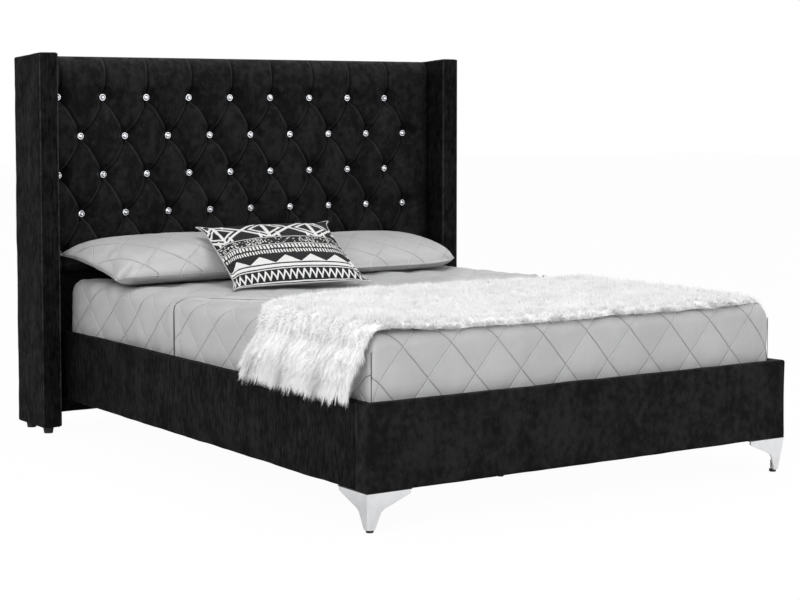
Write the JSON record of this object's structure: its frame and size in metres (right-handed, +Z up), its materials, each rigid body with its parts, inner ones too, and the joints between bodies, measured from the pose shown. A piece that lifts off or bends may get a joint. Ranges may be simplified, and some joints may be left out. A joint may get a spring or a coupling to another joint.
{
  "type": "upholstered bed",
  "caption": "Upholstered platform bed with a diamond tufted wing headboard, crystal buttons and metal legs, dressed with mattress, coverlet, pillows, cushion and throw.",
  "frame": {"origin": "on the floor under the middle of the bed", "axes": "+X to the right seen from the foot, +Y towards the headboard, +Z up"},
  "size_m": [1.842, 2.2146, 1.3837],
  "materials": {
    "velvet": "crushed black velvet",
    "plywood": "raw plywood",
    "pine": "sawn softwood",
    "slat_wood": "planed softwood",
    "zinc_steel": "bright zinc plate",
    "chrome_steel": "polished chrome plate",
    "black_steel": "black powder coat",
    "black_plastic": "moulded, matt",
    "crystal": "faceted clear stone over silver foil",
    "button_rim": "thin bright rim",
    "webbing": "woven strap and felt",
    "back_cloth": "thin black non-woven cloth",
    "ticking": "woven mattress ticking",
    "satin_grey": "silver grey satin, diamond quilted on the bed",
    "cushion_print": "printed cotton in black and white bands",
    "white_fur": "long white faux fur"
  },
  "bodies": {
    "frame_body": {"beam_hangers": "black_steel", "beam_pads": "webbing", "button_crystals": "crystal", "button_cups": "button_rim", "centre_beam": "pine", "centre_legs": "black_steel", "corner_blocks": "pine", "footboard_board": "plywood", "footboard_cover": "velvet", "frame_bolts": "zinc_steel", "frame_brackets": "zinc_steel", "headboard_back_cloth": "back_cloth", "headboard_cross_rails": "pine", "headboard_panel": "plywood", "headboard_studs": "pine", "headboard_top_wrap": "velvet", "left_front_leg": "chrome_steel", "left_rail_board": "plywood", "left_rail_cover": "velvet", "left_slat_ledge": "pine", "left_wing_cover": "velvet", "left_wing_frame": "pine", "left_wing_skins": "plywood", "leg_plates": "black_steel", "leg_screws": "zinc_steel", "lower_pad": "velvet", "right_front_leg": "chrome_steel", "right_rail_board": "plywood", "right_rail_cover": "velvet", "right_slat_ledge": "pine", "right_wing_cover": "velvet", "right_wing_frame": "pine", "right_wing_skins": "plywood", "slat_straps": "webbing", "slats": "slat_wood", "tufted_pad": "velvet", "wing_bolts": "zinc_steel", "wing_feet": "black_plastic"},
    "mattress_body": {"mattress": "ticking", "quilted_sheet": "satin_grey", "coverlet": "satin_grey"},
    "throw_body": {"throw_blanket": "white_fur"},
    "cushion_body": {"accent_cushion": "cushion_print"},
    "left_pillow_body": {"left_pillow": "satin_grey"},
    "right_pillow_body": {"right_pillow": "satin_grey"},
    "left_front_glide_body": {"left_front_glide": "black_plastic"},
    "right_front_glide_body": {"right_front_glide": "black_plastic"},
    "centre_glide_1_body": {"centre_glide_1": "black_plastic"},
    "centre_glide_2_body": {"centre_glide_2": "black_plastic"},
    "centre_glide_3_body": {"centre_glide_3": "black_plastic"}
  },
  "joints": [
    {"name": "mattress_lift", "type": "slide", "parent": "frame_body", "child": "mattress_body", "axis": [0, 0, 1], "range_m": [0, 0.35]},
    {"name": "throw_lift", "type": "slide", "parent": "mattress_body", "child": "throw_body", "axis": [0, 0, 1], "range_m": [0, 0.3]},
    {"name": "cushion_lift", "type": "slide", "parent": "mattress_body", "child": "cushion_body", "axis": [0, 0, 1], "range_m": [0, 0.5]},
    {"name": "left_pillow_lift", "type": "slide", "parent": "mattress_body", "child": "left_pillow_body", "axis": [0, 0, 1], "range_m": [0, 0.25]},
    {"name": "right_pillow_lift", "type": "slide", "parent": "mattress_body", "child": "right_pillow_body", "axis": [0, 0, 1], "range_m": [0, 0.25]},
    {"name": "left_front_glide_screw", "type": "slide", "parent": "frame_body", "child": "left_front_glide_body", "axis": [0, 0, -1], "range_m": [0, 0.012]},
    {"name": "right_front_glide_screw", "type": "slide", "parent": "frame_body", "child": "right_front_glide_body", "axis": [0, 0, -1], "range_m": [0, 0.012]},
    {"name": "centre_glide_1_screw", "type": "slide", "parent": "frame_body", "child": "centre_glide_1_body", "axis": [0, 0, -1], "range_m": [0, 0.012]},
    {"name": "centre_glide_2_screw", "type": "slide", "parent": "frame_body", "child": "centre_glide_2_body", "axis": [0, 0, -1], "range_m": [0, 0.012]},
    {"name": "centre_glide_3_screw", "type": "slide", "parent": "frame_body", "child": "centre_glide_3_body", "axis": [0, 0, -1], "range_m": [0, 0.012]}
  ],
  "couplings": [
    {"joint": "left_pillow_lift", "follows": "cushion_lift", "ratio": 0.5},
    {"joint": "right_pillow_lift", "follows": "cushion_lift", "ratio": 0.5}
  ]
}
